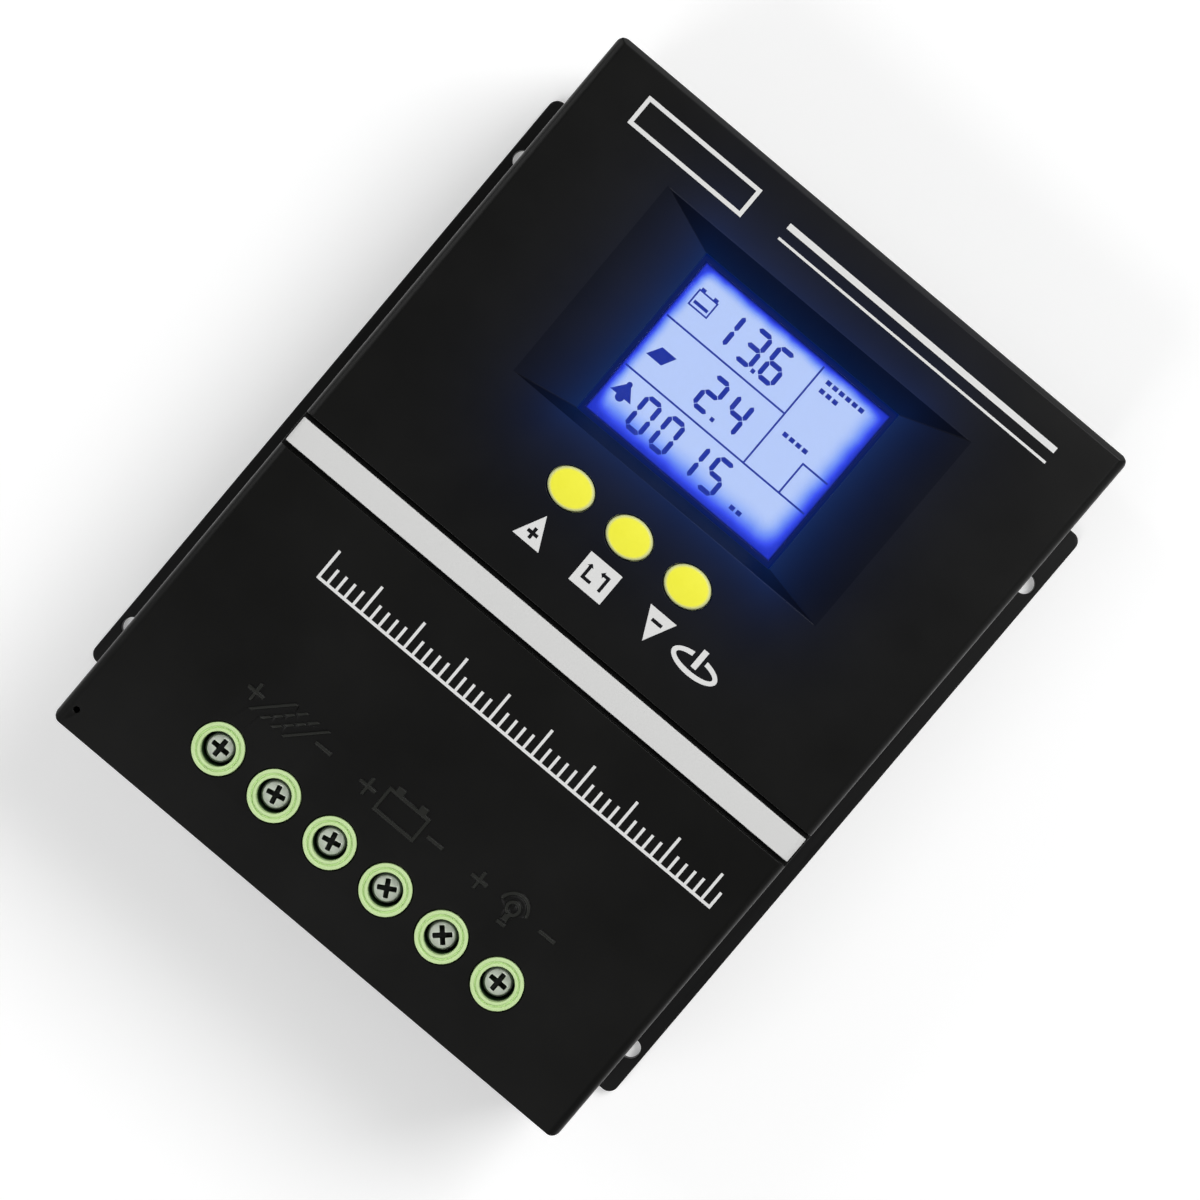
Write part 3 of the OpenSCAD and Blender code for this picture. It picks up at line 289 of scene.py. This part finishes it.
def terminal_green():
    """Pale green housing plastic, dark down inside the collars, where little light comes."""
    s = Surface("terminal_green", shade((204, 232, 168)), 0.38, Specular_IOR_Level=0.45)
    height = s.axes()[2]
    below_rim = s.remap(height, (FACE_Z - 0.9) * MM, (FACE_Z - 2.6) * MM, smooth=True)
    above_wires = s.remap(height, (FACE_Z - 12) * MM, (FACE_Z - 9) * MM)
    unshaded = s.mix(s.noise(3.5), shade((196, 226, 158)), shade((210, 236, 174)))
    s.set("Base Color", s.mix(s.math("MULTIPLY", below_rim, above_wires), unshaded, shade((34, 62, 28))))
    s.set("Roughness", s.remap(s.noise(0.4), 0.3, 0.7, 0.32, 0.46))
    s.bump(s.noise(0.3, 2.0), 0.012, 0.6)
    return s.material


def screw_plating():
    """Zinc-plated screw head with painted shade down in its cross; its origin is on the screw's axis."""
    s = Surface("screw_plating", shade((206, 216, 200)), 0.42, Metallic=0.25)
    low, high = box_mm("terminal_screw_1")
    head_top = (high.z - low.z) / 2 * MM
    cross_r = (high.x - low.x) / 2 * 0.7 * MM
    across, along, height = s.axes()
    # painted shade: dark down in the cross, near the screw's axis
    depth = s.remap(height, head_top - 0.5 * MM, head_top - 0.1 * MM, 1.0, 0.0, smooth=True)
    squares = s.math("ADD", s.math("MULTIPLY", across, across), s.math("MULTIPLY", along, along))
    near_axis = s.remap(s.math("SQRT", squares), cross_r, cross_r + 0.15 * MM, 1.0, 0.0, smooth=True)
    depth = s.math("MULTIPLY", depth, near_axis)
    lines = s.noise(0.12, 3.0, 0.6)
    unshaded = s.mix(lines, shade((226, 232, 222)), shade((244, 248, 240)))
    s.set("Base Color", s.mix(depth, unshaded, shade((10, 18, 11))))
    s.set("Roughness", s.remap(s.math("ADD", lines, s.math("MULTIPLY", depth, 0.6)), 0.3, 1.2, 0.26, 0.6))
    s.bump(lines, 0.01, 0.5)
    return s.material


def lit_display():
    """The lit display: royal blue at its borders and pale in its middle."""
    s = Surface("lit_display", shade((10, 20, 60)), 0.25)
    x, y, _ = s.axes()
    right = s.math("DIVIDE", s.math("SUBTRACT", x, LCD.x * MM), MM)
    up = s.math("DIVIDE", s.math("SUBTRACT", y, LCD.y * MM), MM)
    lift = s.remap(s.noise(6, 2.0), 0.2, 0.8, -0.35, 0.35)

    def from_side(distance, width):
        return s.remap(s.math("ADD", distance, lift), 0.0, width, smooth=True)

    left_in = from_side(s.math("ADD", right, VIEW_HALF.x), FADES["left"])
    right_in = from_side(s.math("SUBTRACT", VIEW_HALF.x, right), FADES["right"])
    low_in = from_side(s.math("ADD", up, VIEW_HALF.y), FADES["low"])
    top_in = from_side(s.math("SUBTRACT", VIEW_HALF.y, up), FADES["top"])
    inside = s.math("MULTIPLY", s.math("MULTIPLY", left_in, right_in), s.math("MULTIPLY", low_in, top_in))
    tint = s.ramp(inside, [
        (0.0, shade((24, 46, 196))),
        (0.10, shade((52, 76, 236))),
        (0.38, shade((112, 146, 244))),
        (0.72, shade((160, 186, 245))),
        (1.0, shade((184, 204, 246))),
    ])
    edge_x = s.math("SUBTRACT", VIEW_HALF.x - 0.1, s.math("ABSOLUTE", right))
    edge_y = s.math("SUBTRACT", VIEW_HALF.y - 0.1, s.math("ABSOLUTE", up))
    lit = s.remap(s.math("MINIMUM", edge_x, edge_y), -0.25, 0.25, smooth=True)
    fine = s.remap(s.noise(0.5, 2.0), 0.2, 0.8, 0.97, 1.03)
    s.emit(s.mix(lit, shade((6, 22, 90)), tint), fine)
    s.bump(s.noise(0.4), 0.004, 0.3)
    return s.material


def display_ink():
    """The display's figures and rules, lit from behind like the rest of it."""
    s = Surface("display_ink", shade((10, 20, 70)), 0.3)
    s.emit(s.mix(s.noise(2.5), shade((14, 34, 134)), shade((24, 52, 164))), 1.0)
    s.bump(s.noise(0.3), 0.003, 0.4)
    return s.material


def clear_window():
    """The clear window; its low index keeps reflections off the display."""
    s = Surface("clear_window", (0.97, 0.98, 1.0), 0.03, Transmission_Weight=1.0, IOR=1.2)
    s.set("Roughness", s.remap(s.noise(9), 0.3, 0.8, 0.01, 0.05))
    s.bump(s.noise(12), 0.004, 0.3)
    return s.material


def circuit_green():
    """Solder mask with faint copper tracks under it."""
    s = Surface("circuit_green", shade((16, 74, 40)), 0.3, Coat_Weight=0.3)
    brick = s.node("ShaderNodeTexBrick")
    s.feed(brick.inputs["Vector"], s.place)
    brick.inputs["Scale"].default_value = 1 / (6 * MM)
    brick.inputs["Mortar Size"].default_value = 0.06
    tracks = s.math("MULTIPLY", brick.outputs["Fac"], s.remap(s.noise(9), 0.45, 0.55))
    s.set("Base Color", s.mix(tracks, shade((14, 70, 38)), shade((40, 112, 62))))
    s.set("Roughness", s.remap(s.noise(0.6), 0.3, 0.7, 0.24, 0.38))
    s.bump(tracks, 0.03, 0.5)
    return s.material


def ribbon_grey():
    """Flat ribbon cable with a ridge for each wire."""
    s = Surface("ribbon_grey", shade((150, 150, 155)), 0.45)
    x, _, _ = s.axes()
    wires = s.math("SINE", s.math("MULTIPLY", x, math.tau / (1.27 * MM)))
    # painted highlight and shade: paler on each wire's ridge, darker in the grooves between
    s.set("Base Color", s.mix(s.remap(wires, -1, 1), shade((128, 128, 134)), shade((164, 164, 168))))
    s.set("Roughness", s.remap(s.noise(0.8), 0.3, 0.7, 0.38, 0.52))
    s.bump(wires, 0.12, 0.7)
    return s.material


def paint_all():
    """Gives every CAD node its material, and returns the keys' one for the new key caps."""
    case = moulded_black("case_black")
    front = moulded_black("case_black_glow", glow=0.102)
    lower = moulded_black("case_black_relief", relief_highlight=True)
    bezel = moulded_black("bezel_black", glow=0.1, gloss=0.08, tint=(0, 84, 255))
    steel = metal("screw_steel", shade((178, 180, 178)), 0.32)
    chip = satin("chip_black", shade((30, 30, 32)), 0.5)
    green = terminal_green()
    screw = screw_plating()
    brass = metal("clamp_nickel", shade((198, 190, 158)), 0.34)
    white = satin("print_white", shade((226, 226, 225)), 0.5, 0.02, 0.2, 0.006)
    board = circuit_green()
    yellow = key_rubber()
    red = satin("plunger_red", shade((150, 32, 26)), 0.4)
    look = {
        "heat_sink": anodised_black(),
        "rear_case": case,
        "upper_cover": front,
        "lower_cover": lower,
        "trim_bar": satin("trim_white", shade((219, 219, 218)), 0.36, 0.012, 0.5, 0.006),
        "cover_screws": steel,
        "main_board": board,
        "standoffs": steel,
        "board_screws": steel,
        "transistors": chip,
        "insulator_pads": satin("pad_grey", shade((186, 186, 180)), 0.7),
        "clamp_bars": metal("clamp_aluminium", shade((196, 198, 200)), 0.38),
        "clamp_screws": steel,
        "capacitors": satin("capacitor_sleeve", shade((36, 44, 84)), 0.3),
        "inductor_core": satin("core_yellow", shade((212, 186, 76)), 0.45),
        "inductor_winding": metal("copper_wire", shade((196, 118, 70)), 0.24),
        "fuse_holders": chip,
        "fuses": satin("fuse_orange", shade((226, 118, 26)), 0.24, 0.05, Transmission_Weight=0.25),
        "current_shunts": metal("shunt_metal", shade((170, 158, 146)), 0.36),
        "controller_chip": chip,
        "main_header": chip,
        "ribbon_cable": ribbon_grey(),
        "display_header": chip,
        "display_board": board,
        "display_screws": steel,
        "tact_switches": chip,
        "lcd_bezel": bezel,
        "lcd_window": clear_window(),
        "lcd_glass": lit_display(),
        "lcd_segments": display_ink(),
        "lcd_pins": steel,
        "lcd_backlight": satin("light_guide", shade((226, 232, 244)), 0.4),
        "printed_symbols": white,
        "printed_scale": white,
        "contact_bars": metal("tinned_copper", shade((206, 200, 188)), 0.3),
    }
    for kind in ("up", "menu", "down"):
        look["key_" + kind] = yellow
        look["plunger_" + kind] = red
    for kind in ("solar", "battery", "load"):
        look["terminal_block_" + kind] = green
    for number in range(1, 7):
        look[f"terminal_screw_{number}"] = screw
        look[f"wire_clamp_{number}"] = brass
    for name, node in NODES.items():
        node.data.materials.clear()
        node.data.materials.append(look[name])
    return yellow


# ---------- shapes ----------


def rounded(node, width, origin=Vector((0, 0, 0))):
    """A copy of a CAD node with its sharp edges rounded, which takes the node's place."""
    work = bmesh.new()
    work.from_mesh(NODES[node].data)
    bmesh.ops.remove_doubles(work, verts=work.verts, dist=WELD * MM)
    surface = BVHTree.FromBMesh(work)
    sharp = [edge for edge in work.edges if edge.calc_face_angle(0) > math.radians(SHARP_ANGLE)]
    bmesh.ops.bevel(work, geom=sharp, offset=width * MM, offset_type="OFFSET", segments=2,
                    profile=0.5, affect="EDGES", miter_outer="ARC")
    for vert in work.verts:
        nearest, _, _, away = surface.find_nearest(vert.co)
        if away > STRAY * width * MM:
            vert.co = nearest
    bmesh.ops.translate(work, verts=work.verts, vec=-origin * MM)
    mesh = bpy.data.meshes.new(node + "_rounded")
    work.to_mesh(mesh)
    work.free()
    mesh.materials.append(NODES[node].data.materials[0])
    piece = add_piece(mesh, BODY_OF[node], origin * MM)
    smooth(piece, 50)
    piece.modifiers.new("normals", "WEIGHTED_NORMAL").keep_sharp = True
    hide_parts(node)
    return piece


def add_piece(mesh, body, place):
    """Puts a mesh in the scene as a piece that rides on a body."""
    piece = bpy.data.objects.new(mesh.name, mesh)
    piece.location = place
    bpy.context.scene.collection.objects.link(piece)
    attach(piece, body)
    return piece


def smooth(piece, angle):
    """Shades a piece smoothly, except across edges sharper than an angle in degrees."""
    piece.data.polygons.foreach_set("use_smooth", [True] * len(piece.data.polygons))
    piece.data.set_sharp_from_angle(angle=math.radians(angle))


def oval_key(kind, material):
    """A domed oval key cap with its retaining flange and stem, in place of the CAD key."""
    node = "key_" + kind
    low, high = box_mm(node)
    centre, top = (low + high) / 2, high.z
    flange_x, flange_y = (high.x - low.x) / 2, (high.y - low.y) / 2
    cap_x, cap_y = flange_x - KEY_FLANGE, flange_y - KEY_FLANGE
    stem_r, stem_end = 2.0, box_mm("plunger_" + kind)[1].z
    under = FACE_Z - FACE_T - KEY_GAP - KEY_FLANGE_T
    edge, crown = 0.75, 0.22  # radius of the cap's edge and height of its dome
    rings = [
        (stem_r, stem_r, stem_end),
        (stem_r, stem_r, under),
        (flange_x, flange_y, under),
        (flange_x, flange_y, under + KEY_FLANGE_T),
        (cap_x, cap_y, under + KEY_FLANGE_T),
        (cap_x, cap_y, top - edge - crown),
    ]
    steps = 6
    for step in range(1, steps + 1):
        turn = math.pi / 2 * step / steps
        inset = edge * (1 - math.cos(turn))
        rings.append((cap_x - inset, cap_y - inset, top - crown - edge * (1 - math.sin(turn))))
    for part in (0.8, 0.6, 0.4, 0.2):
        rings.append(((cap_x - edge) * part, (cap_y - edge) * part, top - crown * part * part))
    mesh = bpy.data.meshes.new(node + "_cap")
    verts, faces = stacked_rings(rings, centre, top)
    mesh.from_pydata([(Vector(v) - centre) * MM for v in verts], [], faces)
    mesh.validate()
    mesh.materials.append(material)
    piece = add_piece(mesh, node, centre * MM)
    smooth(piece, 40)
    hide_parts(node)


def stacked_rings(rings, centre, top):
    """Points and faces of a closed body through oval rings, each with half sizes and a height."""
    count = 72  # points round each ring
    verts = []
    for half_x, half_y, z in rings:
        for i in range(count):
            turn = math.tau * i / count
            verts.append((centre.x + half_x * math.cos(turn), centre.y + half_y * math.sin(turn), z))
    faces = []
    for ring in range(len(rings) - 1):
        for i in range(count):
            a, b = ring * count + i, ring * count + (i + 1) % count
            faces.append((a, b, b + count, a + count))
    faces.append(tuple(reversed(range(count))))
    verts.append((centre.x, centre.y, top))
    last = (len(rings) - 1) * count
    faces += [(last + i, last + (i + 1) % count, len(verts) - 1) for i in range(count)]
    return verts, faces


def recess_faces(cover):
    """Gives the slopes round the display a duller moulding, the two end ones with less of its light."""
    cover.data.materials.append(moulded_black("recess_black", glow=0.088, gloss=0.12))
    cover.data.materials.append(moulded_black("recess_steep", glow=0.046, gloss=0.05))
    for face in cover.data.polygons:
        x, y, z = face.center / MM
        near_x = abs(x - LCD.x) < OPENING_HALF.x + RECESS_REACH
        near_y = abs(y - LCD.y) < OPENING_HALF.y + RECESS_REACH
        if near_x and near_y and face.normal.z > 0.1 and WINDOW_HIGH.z < z < FACE_Z - 0.2:
            face.material_index = 2 if abs(face.normal.y) > abs(face.normal.x) else 1


def soften_frame():
    """Rounds the edges that the eye reaches."""
    recess_faces(rounded("upper_cover", 0.2))
    rounded("lower_cover", 0.15)
    rounded("rear_case", 0.4)
    rounded("heat_sink", 0.25)
    rounded("trim_bar", 0.2)
    rounded("lcd_bezel", 0.12)
    for kind in ("solar", "battery", "load"):
        rounded("terminal_block_" + kind, 0.2)
    for number in range(1, 7):
        screw = f"terminal_screw_{number}"
        rounded(screw, 0.1, origin=middle(screw))
        rounded(f"wire_clamp_{number}", 0.15)


# ---------- studio ----------

LAMPS = [
    # name, place in metres, width and height in metres, power in watts
    ("key", (0.32, 0.68, 1.02), (0.6, 0.6), 8.7),
    ("low_fill", (-0.10, -0.75, 1.00), (0.7, 0.5), 4.6),
    ("left_bank", (-1.25, 0.10, 0.85), (0.5, 1.0), 3.8),
    ("right_bank", (1.50, 0.20, 0.65), (0.5, 1.2), 1.6),
    ("end_light", (0.00, 1.60, 0.30), (1.4, 0.4), 3.0),
]


def studio():
    """A pale floor that keeps the shadow, soft lamps, and a sky that is white to the camera."""
    scene = bpy.context.scene
    scene.view_settings.view_transform = "Standard"
    floor_mesh = bpy.data.meshes.new("floor")
    reach = 3.0  # metres from the middle to each side
    corners = [(-reach, -reach, 0), (reach, -reach, 0), (reach, reach, 0), (-reach, reach, 0)]
    floor_mesh.from_pydata(corners, [], [(0, 1, 2, 3)])
    floor = bpy.data.objects.new("floor", floor_mesh)
    floor.location.z = -0.0002  # just under the case's back, so that the two never share a plane
    scene.collection.objects.link(floor)
    s = Surface("floor_white", (0.86, 0.86, 0.86), 0.9, Specular_IOR_Level=0.1)
    path = s.node("ShaderNodeLightPath")
    seen = s.math("MAXIMUM", path.outputs["Is Camera Ray"], path.outputs["Is Glossy Ray"])
    seen = s.math("MAXIMUM", seen, path.outputs["Is Transmission Ray"])
    s.emit((1, 1, 1), s.math("MULTIPLY", seen, 0.3))
    floor_mesh.materials.append(s.material)
    sky()
    for name, place, size, power in LAMPS:
        lamp(name, place, size, power)


def lamp(name, place, size, power):
    data = bpy.data.lights.new(name, "AREA")
    data.shape = "RECTANGLE"
    data.size, data.size_y = size
    data.energy = power
    made = bpy.data.objects.new(name, data)
    made.location = place
    aim = Vector((0, 0, 0.04)) - Vector(place)  # at the middle of the case
    made.rotation_euler = aim.to_track_quat("-Z", "Y").to_euler()
    bpy.context.scene.collection.objects.link(made)


def sky():
    """White for the camera; for light, dim overhead and brighter towards the horizon."""
    world = bpy.data.worlds.new("sky")
    bpy.context.scene.world = world
    world.use_nodes = True
    tree = world.node_tree
    background = tree.nodes["Background"]
    place = tree.nodes.new("ShaderNodeTexCoord")
    axes = tree.nodes.new("ShaderNodeSeparateXYZ")
    tree.links.new(place.outputs["Generated"], axes.inputs[0])
    height = tree.nodes.new("ShaderNodeMapRange")
    tree.links.new(axes.outputs["Z"], height.inputs["Value"])
    height.inputs["From Min"].default_value = 0.35
    height.inputs["From Max"].default_value = 0.95
    height.inputs["To Min"].default_value = 0.20
    height.inputs["To Max"].default_value = 0.10
    path = tree.nodes.new("ShaderNodeLightPath")
    pick = tree.nodes.new("ShaderNodeMix")
    pick.data_type = "FLOAT"
    tree.links.new(path.outputs["Is Camera Ray"], pick.inputs["Factor"])
    tree.links.new(height.outputs["Result"], pick.inputs["A"])
    pick.inputs["B"].default_value = 1.0
    background.inputs["Color"].default_value = (1, 1, 1, 1)
    tree.links.new(pick.outputs["Result"], background.inputs["Strength"])


def camera():
    """Nearly square on to the face, from about 0.8 m, with the case rolled 40 degrees clockwise."""
    place = Vector((6.5, 26.5, 813.4)) * MM
    aim = Vector((3.67, -0.14, FACE_Z)) * MM
    roll = math.radians(40.125)
    data = bpy.data.cameras.new("camera")
    data.sensor_width = 36
    data.lens = 100.24
    data.clip_start = 0.05
    data.clip_end = 20
    made = bpy.data.objects.new("camera", data)
    back = (place - aim).normalized()
    level = Vector((0, 1, 0)).cross(back).normalized()
    up = back.cross(level)
    turned_up = up * math.cos(roll) - level * math.sin(roll)
    turned_right = turned_up.cross(back)
    made.matrix_world = Matrix((
        (turned_right.x, turned_up.x, back.x, place.x),
        (turned_right.y, turned_up.y, back.y, place.y),
        (turned_right.z, turned_up.z, back.z, place.z),
        (0, 0, 0, 1),
    ))
    bpy.context.scene.collection.objects.link(made)
    bpy.context.scene.camera = made


camera()
key_material = paint_all()
soften_frame()
for kind in ("up", "menu", "down"):
    oval_key(kind, key_material)
studio()
